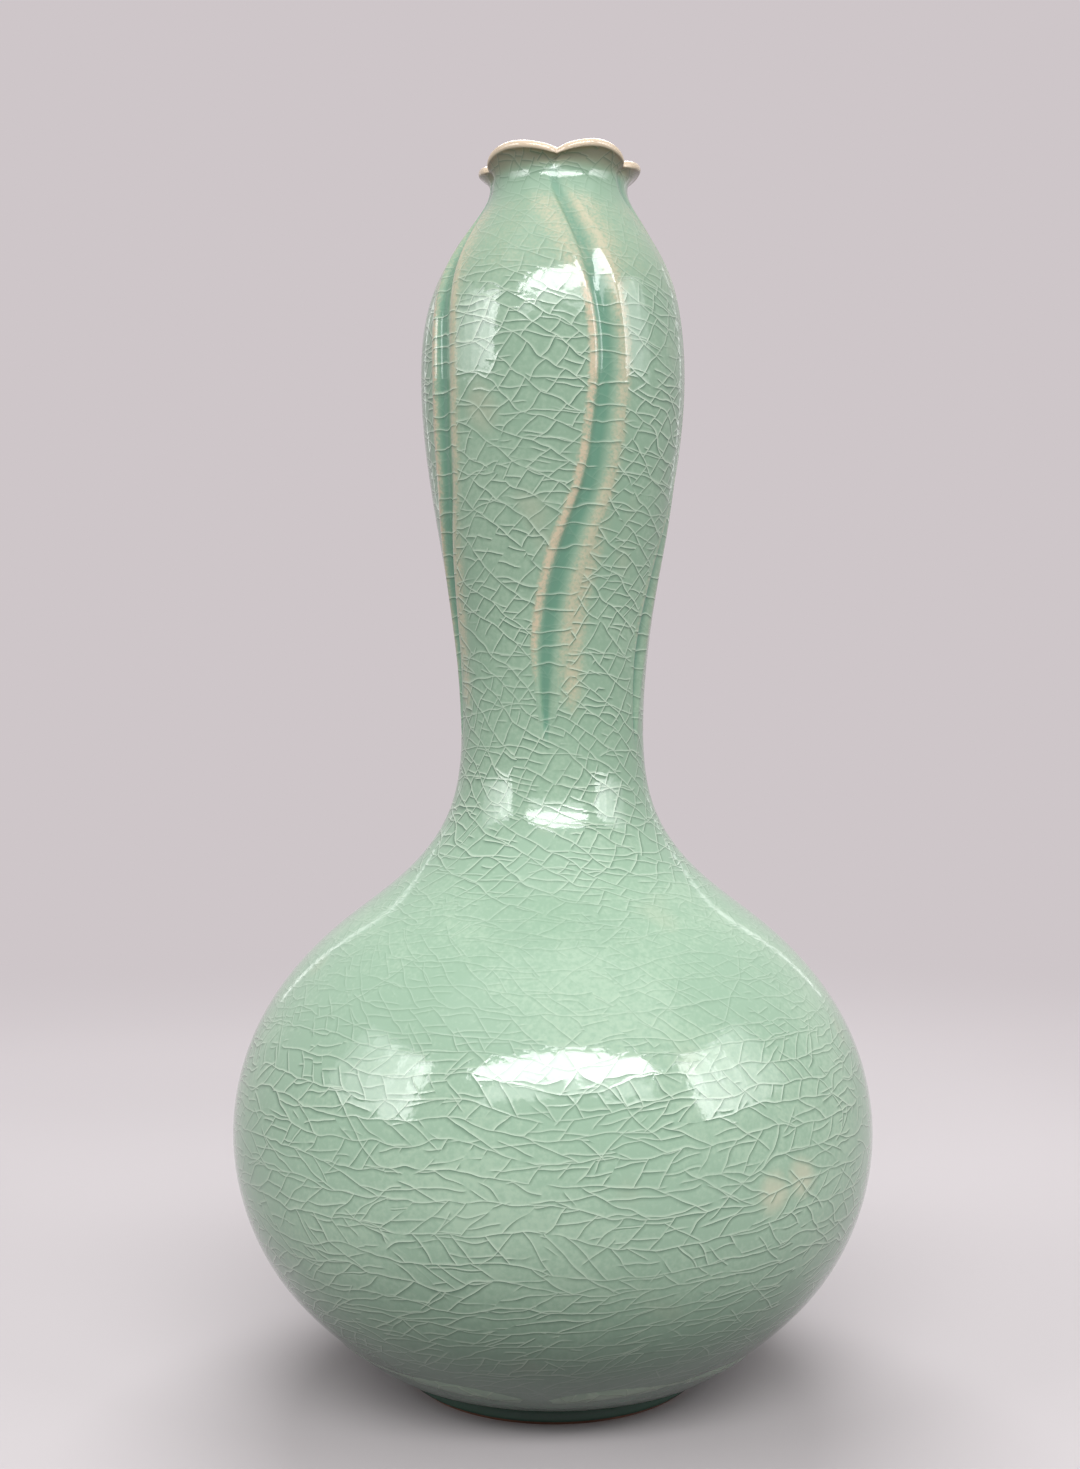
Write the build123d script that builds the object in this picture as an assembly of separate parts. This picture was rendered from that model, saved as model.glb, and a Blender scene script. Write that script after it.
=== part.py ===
from build123d import *
import os
from math import cos, radians, sin

# A crackle-glazed double gourd vase, thrown in sections, luted together with slip and glazed.
# Millimetres, +Z up. The origin is the middle of the foot's resting plane.
# Angles are counted from the front, which faces -Y, and grow towards +X.

# Foot ring
foot_radius = 41.0
foot_width = 6.0
foot_height = 4.8
foot_bevel = 0.8
bare_foot_band = 1.2

# Driving radii of the glazed outline, with each rise counted from the station before it
belly_radius = 88.8
belly_rise = 63.9
waist_radius = 25.7
waist_rise = 112.3
bulb_radius = 37.1
bulb_rise = 97.0
throat_radius = 19.5
throat_rise = 52.5
flare_reach = 8.5
flare_rise = 9.0

# How each stretch between them swells: shares of the way out or in, and of the way up
foot_to_belly = [(0.180, 0.041), (0.397, 0.157), (0.720, 0.398)]
belly_to_waist = [(0.125, 0.279), (0.460, 0.501), (0.759, 0.635), (0.935, 0.769)]
waist_to_bulb = [(0.351, 0.402)]
bulb_to_throat = [(0.233, 0.514), (0.778, 0.838)]
neck_joint_share = 0.769

# Walls, glaze coats and luting slip
wall_at_foot = 5.6
wall_at_lip = 1.6
floor_thickness = 7.0
floor_corner_round = 12.0
outer_coat = 0.7
inner_coat = 0.4
base_coat = 0.6
slip_thickness = 0.6
tongue_width = 2.6
tongue_depth = 1.6

# Five-petal rim and the grooves that run down from its notches
groove_bases = [-80.0, 0.0, 66.0, 140.0, 210.0]
petal_reach = 3.7
notch_reach = 0.5
notch_round = 1.2
lip_round = 1.0
groove_depth = 1.5
groove_pool = 0.4
groove_steep_side = 3.6
groove_soft_side = 5.6
groove_edge_rise = 0.6
groove_point_width = 0.35
steep_side_fullness = 0.62
soft_side_fullness = 0.42
groove_top_gap = 3.0
groove_point_above_waist = 3.0
# Stations of the S path: share of the groove's length from its point up, sway in degrees, depth share
groove_path = [
    (0.00, -4.0, 0.00),
    (0.12, -2.8, 0.75),
    (0.26, 4.0, 1.00),
    (0.43, 16.0, 1.00),
    (0.60, 22.5, 1.00),
    (0.76, 22.0, 0.90),
    (0.90, 12.5, 0.60),
    (1.00, 1.0, 0.20),
]
cutter_reach = 8.0

# Room left above and around the vase by the solids that only trim it
trim_room = 20.0
coat_samples = 28


def at(radius, level):
    """A point of the turned section, on the +X side of the axis."""
    return Vector(radius, 0, level)


def around(angle, radius, level):
    """A point at an angle from the front."""
    return Vector(radius * sin(radians(angle)), -radius * cos(radians(angle)), level)


def stretch(start, end, shape):
    """The stations between two driving points of the outline."""
    across = end.X - start.X
    up = end.Z - start.Z
    return [at(start.X + across * out_share, start.Z + up * up_share) for out_share, up_share in shape]


def glazed_outline():
    """The outline of the glazed vase as one smooth curve from the foot to the lip."""
    foot = at(foot_radius + outer_coat, foot_height)
    belly = at(belly_radius, foot.Z + belly_rise)
    waist = at(waist_radius, belly.Z + waist_rise)
    bulb = at(bulb_radius, waist.Z + bulb_rise)
    throat = at(throat_radius, bulb.Z + throat_rise)
    flare = at(throat_radius + flare_reach, throat.Z + flare_rise)
    stations = [
        foot,
        *stretch(foot, belly, foot_to_belly),
        belly,
        *stretch(belly, waist, belly_to_waist),
        waist,
        *stretch(waist, bulb, waist_to_bulb),
        bulb,
        *stretch(bulb, throat, bulb_to_throat),
        throat,
        flare,
    ]
    return Spline(stations)


def inset(outline, at_foot, at_lip):
    """The outline moved inwards, by a distance that runs evenly from the foot to the lip."""
    points = []
    for step in range(coat_samples + 1):
        share = step / coat_samples
        along = outline % share
        inwards = Vector(-along.Z, 0, along.X)
        points.append(outline @ share + inwards * (at_foot + (at_lip - at_foot) * share))
    return Spline(points)


def filled(curve, bottom):
    """The flat region between the axis and an outline, from a bottom level to above the lip."""
    start = curve @ 0
    end = curve @ 1
    corners = [end, at(end.X, roof), at(0, roof), at(0, bottom), at(start.X, bottom)]
    if start.Z - bottom > 1e-6:
        corners.append(start)
    return make_face([curve, Polyline(corners)])


def block(corners):
    """A flat region of the turned section with straight sides."""
    return make_face([Polyline([*corners, corners[0]])])


def band(low, high):
    """The flat region between two levels."""
    return block([at(0, low), at(reach, low), at(reach, high), at(0, high)])


def below_joint(radius, level):
    """The flat region below a luted joint, whose groove takes a tongue at the middle of the wall."""
    half = tongue_width / 2
    return block([
        at(0, level),
        at(radius - half, level),
        at(radius, level - tongue_depth),
        at(radius + half, level),
        at(reach, level),
        at(reach, 0),
        at(0, 0),
    ])


def turned(region):
    return revolve(region, Axis.Z, 360)


def radius_at(curve, level):
    """The radius of a turned outline at a level, found by halving."""
    low = 0.0
    high = 1.0
    for _ in range(40):
        middle = (low + high) / 2
        if (curve @ middle).Z < level:
            low = middle
        else:
            high = middle
    return (curve @ low).X


def groove_section(surface, base, station, depth_in_wall):
    """One level section of a groove cutter: a steep wall, a round floor and a soft wall."""
    share, sway, depth_share = station
    bottom = waist_level + groove_point_above_waist
    top = throat_level - groove_top_gap
    level = bottom + (top - bottom) * share
    surface_radius = radius_at(surface, level)
    angle = base + sway
    across_way = Vector(cos(radians(angle)), sin(radians(angle)), 0)
    depth = depth_share * (depth_in_wall + groove_edge_rise) - groove_edge_rise
    width_share = groove_point_width + (1 - groove_point_width) * depth_share
    steep = groove_steep_side * width_share
    soft = groove_soft_side * width_share

    def place(side, out):
        return around(angle, surface_radius + out, level) + across_way * side

    steep_top = place(-steep, groove_edge_rise)
    soft_top = place(soft, groove_edge_rise)
    floor = Spline([
        steep_top,
        place(-steep / 2, -depth * steep_side_fullness),
        place(0, -depth),
        place(soft / 2, -depth * soft_side_fullness),
        soft_top,
    ])
    lid = Polyline([soft_top, place(soft, cutter_reach), place(-steep, cutter_reach), steep_top])
    return make_face([floor, lid])


def grooved(solid, surface, depth_in_wall):
    """A turned solid with the five S-shaped grooves cut into its surface."""
    for base in groove_bases:
        solid -= loft([groove_section(surface, base, station, depth_in_wall) for station in groove_path])
    return solid


def petal_prism():
    """An upright prism with the plan of the five petals."""
    edges = []
    turns = groove_bases[1:] + [groove_bases[0] + 360]
    for start, end in zip(groove_bases, turns):
        edges.append(ThreePointArc(
            around(start, throat_radius + notch_reach, throat_level),
            around((start + end) / 2, throat_radius + petal_reach, throat_level),
            around(end, throat_radius + notch_reach, throat_level),
        ))
    plan = make_face(edges)
    plan = fillet(plan.vertices(), notch_round)
    return extrude(plan, amount=roof - throat_level, dir=(0, 0, 1))


def middle_of_wall(level):
    return (radius_at(clay_outline, level) + radius_at(bore_outline, level)) / 2


def hollow(curve, floor):
    """The flat region inside the wall, with a rounded corner where the wall meets the floor."""
    region = filled(curve, seat_level) & band(floor, roof)
    corner = region.vertices().sort_by(Axis.Z).group_by(Axis.Z)[0].sort_by(Axis.X)[-1]
    return fillet(corner, floor_corner_round)


def foot_section():
    """The section of the foot ring, with its two resting edges bevelled."""
    inner = foot_radius - foot_width
    ring_top = seat_level - slip_thickness
    section = block([at(inner, 0), at(foot_radius, 0), at(foot_radius, ring_top), at(inner, ring_top)])
    return chamfer(section.vertices().group_by(Axis.Z)[0], foot_bevel)


outline = glazed_outline()
belly_level = foot_height + belly_rise
neck_level = belly_level + waist_rise * neck_joint_share
waist_level = belly_level + waist_rise
throat_level = waist_level + bulb_rise + throat_rise
roof = throat_level + flare_rise + trim_room
reach = belly_radius + trim_room

clay_outline = inset(outline, outer_coat, outer_coat)
bore_outline = inset(outline, outer_coat + wall_at_foot, outer_coat + wall_at_lip)
inside_outline = inset(outline, outer_coat + wall_at_foot + inner_coat, outer_coat + wall_at_lip + inner_coat)
seat_level = (clay_outline @ 0).Z
floor_level = seat_level + floor_thickness

# Flat regions of the turned section: the glazed vase, its clay, its bore and the space inside
vase = filled(outline, bare_foot_band)
clay = filled(clay_outline, seat_level)
bore = hollow(bore_outline, floor_level)
inside = hollow(inside_outline, floor_level + inner_coat)
foot_core = block([at(0, 0), at(foot_radius, 0), at(foot_radius, seat_level), at(0, seat_level)])
wall = clay - bore

# The vase is worked in three zones: the plain lower part, the grooved bulb and the petal rim
plain_zone = band(0, waist_level)
bulb_zone = band(waist_level, throat_level)
rim_zone = band(throat_level, roof)

# Luted joints: the lower edge is grooved, the upper edge has the tongue, and slip fills the gap
belly_middle = middle_of_wall(belly_level)
below_belly = below_joint(belly_middle, belly_level)
below_belly_slip = below_joint(belly_middle, belly_level + slip_thickness)
neck_middle = middle_of_wall(neck_level)
below_neck = below_joint(neck_middle, neck_level)
below_neck_slip = below_joint(neck_middle, neck_level + slip_thickness)

# Petal rim: the flared wall is trimmed to the petals, its lip is rounded, and the layers are parted
rim_wall = turned((vase - inside) & rim_zone) & petal_prism()
above_throat = rim_wall.edges().filter_by(lambda edge: edge.bounding_box().min.Z > throat_level + 1)
lip_edges = above_throat.filter_by(GeomType.LINE, reverse=True)
rim_wall = fillet(lip_edges, lip_round)
rim_clay_fill = turned(clay & rim_zone)
rim_bore = turned(bore & rim_zone)
rim_outer_coat = rim_wall - rim_clay_fill
rim_clay = (rim_wall & rim_clay_fill) - rim_bore
rim_inner_coat = rim_wall & rim_bore

# Bulb: the grooves are cut deeper into the clay than into the glaze, so that the glaze pools there
clay_groove_depth = groove_depth + groove_pool
bulb_clay_fill = grooved(turned(clay & bulb_zone), clay_outline, clay_groove_depth)
bulb_outer_coat = grooved(turned(vase & bulb_zone), outline, groove_depth) - bulb_clay_fill
bulb_clay = bulb_clay_fill - turned(bore & bulb_zone)

# Each piece of the vase is a node of its own
inner_foot_radius = foot_radius - foot_width
slip_bed = block([
    at(inner_foot_radius, seat_level - slip_thickness),
    at(foot_radius, seat_level - slip_thickness),
    at(foot_radius, seat_level),
    at(inner_foot_radius, seat_level),
])
base_disc = block([
    at(0, seat_level - base_coat),
    at(inner_foot_radius, seat_level - base_coat),
    at(inner_foot_radius, seat_level),
    at(0, seat_level),
])
nodes = {
    "foot_ring": turned(foot_section()),
    "foot_slip": turned(slip_bed),
    "lower_bowl": turned(wall & below_belly),
    "belly_slip": turned(wall & (below_belly_slip - below_belly)),
    "shoulder": turned((wall & below_neck) - below_belly_slip),
    "neck_slip": turned(wall & (below_neck_slip - below_neck)),
    "upper_bulb": turned((wall & plain_zone) - below_neck_slip) + bulb_clay + rim_clay,
    "outer_glaze": turned(((vase - clay) - foot_core) & plain_zone) + bulb_outer_coat + rim_outer_coat,
    "inner_glaze": turned((bore - inside) & band(0, throat_level)) + rim_inner_coat,
    "base_glaze": turned(base_disc),
}

os.makedirs("parts", exist_ok=True)
for name, solid in nodes.items():
    export_step(solid, f"parts/{name}.step")
    box = solid.bounding_box()
    print(f"{name}: {len(solid.solids())} solid, {solid.volume:.0f} mm3, z {box.min.Z:.2f} to {box.max.Z:.2f}")
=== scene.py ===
# %% [markdown]
# # A crackle-glazed double gourd vase
# The real vase is thrown on a wheel in sections, luted together, carved with five swaying grooves,
# pinched into five petals at the lip and dipped in a green celadon glaze.
# The clay sections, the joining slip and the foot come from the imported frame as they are.
# The glaze is what everyone sees, so it is modelled here: its skin, its pools, its thin places
# and the net of fine cracks in it.

# %% Load the frame
import math
import bmesh
import bpy
import numpy as np
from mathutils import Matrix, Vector


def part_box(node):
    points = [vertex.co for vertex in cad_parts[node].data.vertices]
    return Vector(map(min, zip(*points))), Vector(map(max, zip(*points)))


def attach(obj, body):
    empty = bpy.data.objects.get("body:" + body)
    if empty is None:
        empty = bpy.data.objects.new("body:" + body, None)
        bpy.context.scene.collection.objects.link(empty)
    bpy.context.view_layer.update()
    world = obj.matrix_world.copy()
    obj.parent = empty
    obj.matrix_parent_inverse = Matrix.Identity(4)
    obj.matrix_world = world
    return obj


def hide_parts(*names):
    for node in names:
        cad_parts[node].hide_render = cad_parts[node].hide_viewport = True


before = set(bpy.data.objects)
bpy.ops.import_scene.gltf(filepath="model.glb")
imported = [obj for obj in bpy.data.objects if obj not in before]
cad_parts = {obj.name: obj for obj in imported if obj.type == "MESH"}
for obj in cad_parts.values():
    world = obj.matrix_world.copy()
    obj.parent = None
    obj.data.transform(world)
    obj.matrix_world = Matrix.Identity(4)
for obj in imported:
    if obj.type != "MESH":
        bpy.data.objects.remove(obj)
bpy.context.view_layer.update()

MM = 0.001

# %% [markdown]
# ## The outline
# A thrown pot is one curve turned about an axis.
# It could be traced with dozens of points, but a potter thinks of a few places: foot, belly, waist,
# bulb and throat, and of how full the curve is between them.
# So the driving sizes are read from the frame where a piece shows them, and a cubic spline runs through.

# %% Stations of the outline
def box_mm(node):
    low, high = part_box(node)
    return np.array(low) / MM, np.array(high) / MM


outer_coat = 0.7
foot_radius = box_mm("foot_ring")[1][0]
belly_radius = box_mm("outer_glaze")[1][0]
neck_joint_level = box_mm("neck_slip")[1][2]
lip_level = box_mm("inner_glaze")[1][2]
glaze_edge_level = box_mm("outer_glaze")[0][2]

foot = np.array([foot_radius + outer_coat, 4.8])
belly = np.array([belly_radius, 68.7])
waist = np.array([25.7, 181.0])
bulb = np.array([37.1, 278.0])
throat = np.array([19.5, 330.5])
flare = np.array([28.0, 339.5])


def between(start, end, shape):
    """Stations between two places: shares of the way out or in, and of the way up."""
    return [start + (end - start) * np.array(share) for share in shape]


stations = np.array([
    foot,
    *between(foot, belly, [(0.180, 0.041), (0.397, 0.157), (0.720, 0.398)]),
    belly,
    *between(belly, waist, [(0.125, 0.279), (0.460, 0.501), (0.759, 0.635), (0.935, 0.769)]),
    waist,
    *between(waist, bulb, [(0.351, 0.402)]),
    bulb,
    *between(bulb, throat, [(0.233, 0.514), (0.778, 0.838)]),
    throat,
    flare,
])
print("outline through", len(stations), "stations, belly radius", round(belly_radius, 1), "mm")


# %% A smooth curve through the stations
def cubic_through(knots, values, where):
    """A cubic spline whose end slopes come from the cubic through the four end stations."""
    count = len(knots)
    start_slope = np.polyval(np.polyder(np.polyfit(knots[:4], values[:4], 3)), knots[0])
    end_slope = np.polyval(np.polyder(np.polyfit(knots[-4:], values[-4:], 3)), knots[-1])
    gaps = np.diff(knots)
    rises = np.diff(values) / gaps
    system = np.eye(count)
    target = np.zeros(count)
    target[0] = start_slope
    target[-1] = end_slope
    for i in range(1, count - 1):
        system[i, i - 1:i + 2] = [gaps[i], 2 * (gaps[i - 1] + gaps[i]), gaps[i - 1]]
        target[i] = 3 * (gaps[i] * rises[i - 1] + gaps[i - 1] * rises[i])
    slopes = np.linalg.solve(system, target)
    cell = np.clip(np.searchsorted(knots, where, side="right") - 1, 0, count - 2)
    t = (where - knots[cell]) / gaps[cell]
    return (values[cell] * (1 + 2 * t) * (1 - t) ** 2 + values[cell + 1] * t * t * (3 - 2 * t)
            + gaps[cell] * (slopes[cell] * t * (1 - t) ** 2 - slopes[cell + 1] * t * t * (1 - t)))


fine_steps = 4000
chords = np.concatenate([[0], np.cumsum(np.linalg.norm(np.diff(stations, axis=0), axis=1))])
fine = np.linspace(0, chords[-1], fine_steps)
curve_radius = cubic_through(chords, stations[:, 0], fine)
curve_level = cubic_through(chords, stations[:, 1], fine)
curve_length = np.concatenate([[0], np.cumsum(np.hypot(np.diff(curve_radius), np.diff(curve_level)))])
tangent_out = np.gradient(curve_radius, curve_length)
tangent_up = np.gradient(curve_level, curve_length)
print("outline length", round(curve_length[-1], 1), "mm")


def on_outline(length, depth=0.0):
    """Points at lengths along the outline, moved inwards by a depth, as radius and level."""
    out = np.interp(length, curve_length, tangent_out)
    up = np.interp(length, curve_length, tangent_up)
    radius = np.interp(length, curve_length, curve_radius) - depth * up
    level = np.interp(length, curve_length, curve_level) + depth * out
    return np.stack([radius, level], axis=-1)


def length_at(level):
    return np.interp(level, curve_level, curve_length)


# %% [markdown]
# ## Rows of the glaze skin
# The glaze starts at the bare edge of the foot ring, pools in the corner under the belly,
# climbs the outline, rolls over the lip and goes a little way down the throat.
# Rows could be evenly spaced, but the lip needs them close and the belly doesn't,
# so each stretch has its own count.

# %% Rows from the foot to the throat
lip_thickness = 2.5
lip_bulge = 0.9
throat_end_level = 322.0
bulb_top_level = 314.0
pool_in_corner = 1.6
lip_rows = 11
throat_rows = 10

lip_edge_level = lip_level - lip_thickness
lip_length = length_at(lip_edge_level)
lip_way = np.array([0.98, 0.2])


def bent(start, pull, end, shares):
    """Points at shares of a curve from a start to an end that is drawn towards a third point."""
    t = np.array(shares)[:, None]
    return (1 - t) ** 2 * start + 2 * t * (1 - t) * pull + t * t * end


def foot_rows():
    """The glazed side of the foot ring and the pooled corner above it."""
    side_top = foot[1] - pool_in_corner
    side = np.array([(foot[0], level) for level in np.linspace(glaze_edge_level, side_top, 4)])
    corner = bent(side[-1], foot, on_outline(2 * pool_in_corner), np.linspace(0.2, 0.8, 4))
    return np.concatenate([side, corner])


def stretch_rows(low, high, count):
    return on_outline(np.linspace(low, high, count, endpoint=False))


def lip_roll(count):
    """The rounded lip: half a turn from the lower edge of the wall's end to the upper one."""
    downwards = np.array([lip_way[1], -lip_way[0]])
    middle = on_outline(lip_length) - downwards * lip_thickness / 2
    turn = np.linspace(0, math.pi, count)[:, None]
    return middle + lip_thickness / 2 * np.cos(turn) * downwards + lip_bulge * np.sin(turn) * lip_way


skin_chain = np.concatenate([
    foot_rows(),
    stretch_rows(2 * pool_in_corner, length_at(belly[1]), 30),
    stretch_rows(length_at(belly[1]), length_at(neck_joint_level), 42),
    stretch_rows(length_at(neck_joint_level), length_at(bulb_top_level), 76),
    stretch_rows(length_at(bulb_top_level), length_at(throat[1]), 16),
    stretch_rows(length_at(throat[1]), lip_length, 12),
    lip_roll(lip_rows),
    on_outline(np.linspace(lip_length, length_at(throat_end_level), throat_rows + 1), lip_thickness)[1:],
])
lip_start_row = len(skin_chain) - lip_rows - throat_rows
skin_top = skin_chain[:, 1].max()
print("glaze skin:", len(skin_chain), "rows, lip top", round(skin_top, 2), "of", round(lip_level, 2), "mm")

# %% [markdown]
# ## Spinning a skin
# Spin turns a chain of edges about the upright axis, as the wheel does.
# The chain stands at the angle of the groove at the back, so the seam of the UV map hides in that groove.
# Each vertex remembers its row, which tells later steps where on the outline it lies.

# %% The spin helper
groove_bases = [-77.0, 0.0, 66.0, 140.0]
seam_angle = 210.0
gap_edges = np.array([seam_angle] + [360.0 + base for base in groove_bases] + [360.0 + seam_angle])
columns_per_gap = 44


def place_at(angle, radius, level):
    """A point in metres. Angles are counted in degrees from the front, -Y, and grow towards +X."""
    turn = np.radians(angle)
    return np.column_stack([radius * np.sin(turn), -radius * np.cos(turn), level]) * MM


def spun(name, chain, columns, closed=False):
    """A turned mesh. Gives the mesh with the row and the column of every vertex."""
    work = bmesh.new()
    row_layer = work.verts.layers.int.new("row")
    ring = []
    for row, point in enumerate(place_at(seam_angle, chain[:, 0], chain[:, 1])):
        vertex = work.verts.new(point)
        vertex[row_layer] = row
        ring.append(vertex)
    edges = [work.edges.new(pair) for pair in zip(ring, ring[1:])]
    if closed:
        edges.append(work.edges.new((ring[-1], ring[0])))
    bmesh.ops.spin(work, geom=ring + edges, cent=(0, 0, 0), axis=(0, 0, 1), dvec=(0, 0, 0),
                   angle=2 * math.pi, steps=columns, use_merge=True, use_duplicate=False)
    bmesh.ops.remove_doubles(work, verts=work.verts, dist=1e-7)
    bmesh.ops.recalc_face_normals(work, faces=work.faces)
    mesh = bpy.data.meshes.new(name)
    work.to_mesh(mesh)
    work.free()
    points = np.empty(len(mesh.vertices) * 3)
    mesh.vertices.foreach_get("co", points)
    points = points.reshape(-1, 3)
    rows = np.empty(len(mesh.vertices), dtype=np.int32)
    mesh.attributes["row"].data.foreach_get("value", rows)
    angle = np.degrees(np.arctan2(points[:, 0], -points[:, 1])) - seam_angle
    column = np.round(angle / 360.0 * columns).astype(int) % columns
    mesh.attributes.remove(mesh.attributes["row"])
    return mesh, rows, column


print("seam at", seam_angle, "degrees,", columns_per_gap, "columns from one groove to the next")

# %% [markdown]
# ## Grooves that sway
# Each groove starts at a notch of the lip, swings to one side over the bulb, swings back
# and ends in a point at the waist.
# Boolean cutters would leave hard edges under a glaze that has none, so the skin is moved instead:
# its columns crowd towards the five grooves and lean with them, and a smooth cross-section,
# steep on the left and soft on the right, pushes the skin in and raises its edges.

# %% The path of a groove
sway_places = [
    (140.0, -4.0), (183.2, -4.0), (203.1, -2.5), (218.8, 3.0), (229.2, 8.5),
    (244.6, 17.6), (259.9, 21.2), (270.2, 22.7), (281.0, 22.8), (291.5, 21.0),
    (306.0, 15.2), (314.0, 10.2), (320.6, 4.5), (326.0, -1.0), (336.0, -1.5),
]
sway_levels, sway_degrees = np.array(sway_places).T
crowding = 0.55
lip_leans = np.array([0.0, 4.0, -0.5, -3.0, 0.0, 0.0])
lip_lean_levels = (306, 334)


def smooth(low, high, value):
    share = np.clip((value - low) / (high - low), 0, 1)
    return share * share * (3 - 2 * share)


def sway(level):
    """How many degrees a groove leans at a level, through a few measured places of its S."""
    return cubic_through(sway_levels, sway_degrees, np.clip(level, sway_levels[0], sway_levels[-1]))


def crowded(share):
    return share - crowding * np.sin(2 * np.pi * share) / (2 * np.pi)


def groove_lines(level):
    """Angles of the five grooves at some levels, the first one again at the end."""
    near_lip = smooth(*lip_lean_levels, level)
    return gap_edges[:, None] + lip_leans[:, None] * near_lip + sway(level)


def between_lines(lines, column, columns):
    """The angle of a column between two lines. Columns stand closer together near the lines."""
    per_gap = columns // 5
    gap = (column // per_gap)[None]
    share = crowded((column % per_gap) / per_gap)
    start = np.take_along_axis(lines, gap, 0)[0]
    end = np.take_along_axis(lines, gap + 1, 0)[0]
    return start + (end - start) * share


print("grooves at", groove_bases + [seam_angle], "degrees, sway up to", sway_degrees.max(), "degrees")

# %% The section of a groove
groove_depth = 1.35
left_edge_rise = 0.22
right_edge_rise = 0.14
crease_depth = 0.07
groove_point_level = 175.0
groove_taper = 26.0
groove_fade_levels = (313, 330)
groove_close_levels = (298, 328)
pool_fade_levels = (308, 332)
tan_start_levels = (176, 214)
thin_end_levels = (292, 310)
low_patch_levels = (178, 192, 218, 248)
crown_levels = (286, 306, 320, 329)
crease_levels = (322, 328, 335, 338)
valley_places = (-3.5, -1.4, 0.0, 5.2)
floor_places = (-3.4, -1.5, 0.2, 3.2)
zone_places = (-5.6, -4.6, 5.4, 6.8)


def hump(value, middle, half):
    return np.exp(-((value - middle) / half) ** 2)


def within(value, start, full, fading, end):
    """One from full to fading, and nothing before the start or after the end."""
    return smooth(start, full, value) * (1 - smooth(fading, end, value))


def groove_strength(level):
    fade_in = smooth(groove_point_level, groove_point_level + 12, level)
    fade_out = 1 - 0.85 * smooth(*groove_fade_levels, level)
    return fade_in * fade_out


def groove_width(level):
    open_up = 0.12 + 0.68 * np.clip((level - groove_point_level) / groove_taper, 0, 1) ** 0.7
    open_more = 0.2 * smooth(groove_point_level, groove_point_level + 50, level)
    close_up = 1 - 0.4 * smooth(*groove_close_levels, level)
    return (open_up + open_more) * close_up


def groove_moves(side, level):
    """Movement in mm at a distance to the right of a groove's line, with four shares.

    They say how pooled, how thin and how pale the glaze is there, the pale share at the crown being partly
    painted sheen, and if it lies in the groove."""
    strength = groove_strength(level)
    s = side / groove_width(level)
    edges = left_edge_rise * hump(s, -3.9, 0.8) + right_edge_rise * hump(s, 5.4, 1.8)
    crease = hump(side, 0.0, 0.4) * within(level, *crease_levels)
    move = strength * (edges - groove_depth * within(s, *valley_places)) - crease_depth * crease
    filled = smooth(groove_point_level - 1, groove_point_level + 5, level)
    filled = filled * (1 - 0.4 * smooth(*pool_fade_levels, level))
    pool = np.maximum(filled * within(s, *floor_places), 0.6 * crease)
    thin = strength * hump(s, -4.2, 1.5) * within(level, *tan_start_levels, *thin_end_levels)
    right_edge = strength * hump(s, 5.1, 2.2) * smooth(*tan_start_levels, level)
    low_patch = 0.95 * hump(side, 6.8, 3.2) * within(level, *low_patch_levels)
    # Paler beside the grooves at the crown: partly thin cream glaze, partly painted sheen.
    beside = np.maximum(hump(side, -5.5, 3.2), hump(side, 6.0, 3.4))
    crown_pale_and_sheen = (0.06 + 0.42 * beside) * within(level, *crown_levels)
    pale = np.maximum(right_edge, np.maximum(low_patch, crown_pale_and_sheen))
    zone = strength * within(s, *zone_places)
    return move, pool, thin, pale, zone


print("grooves", groove_depth, "mm deep, ending", groove_point_level, "mm up")

# %% [markdown]
# ## The petal lip
# The potter pinches the flared lip at five places, so the wall between two pinches stands out as a petal.
# The whole rim could be lofted from a flower-shaped curve.
# Here the spun rim is drawn at its widest, and it's pulled back towards the throat near each notch.
# Pinching also pushed the mouth of this vase a little to one side.

# %% Moves of the rim
groove_warmth = [1.0, 1.0, 1.0, 0.4, 0.8, 1.0]
notch_pull_in = 2.9
notch_pull_down = 2.2
notch_sharpness = 2.5
petal_fullness = 2.6
mouth_shift = 1.8
mouth_shift_start = 286.0
mouth_shift_end = 332.0
inner_wall_follows = 0.3


def petal_pull(column, columns):
    """Pulls inwards and downwards: one at a notch and nothing at the middle of a petal.

    Seen from above a petal is full. Seen from the side it's a flatter arc, a branch of a hyperbola."""
    per_gap = columns // 5
    away = np.abs(2 * crowded((column % per_gap) / per_gap) - 1)
    inwards = away ** petal_fullness
    downwards = (np.sqrt(1 + (notch_sharpness * away) ** 2) - 1) / (math.sqrt(1 + notch_sharpness ** 2) - 1)
    return inwards, downwards


def rim_share(chain):
    """How much of the petals' pull a row takes: none at the throat, all at the lip."""
    share = smooth(throat[1], chain[:, 1].max() - 1.0, chain[:, 1])
    return share ** 1.2


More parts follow.
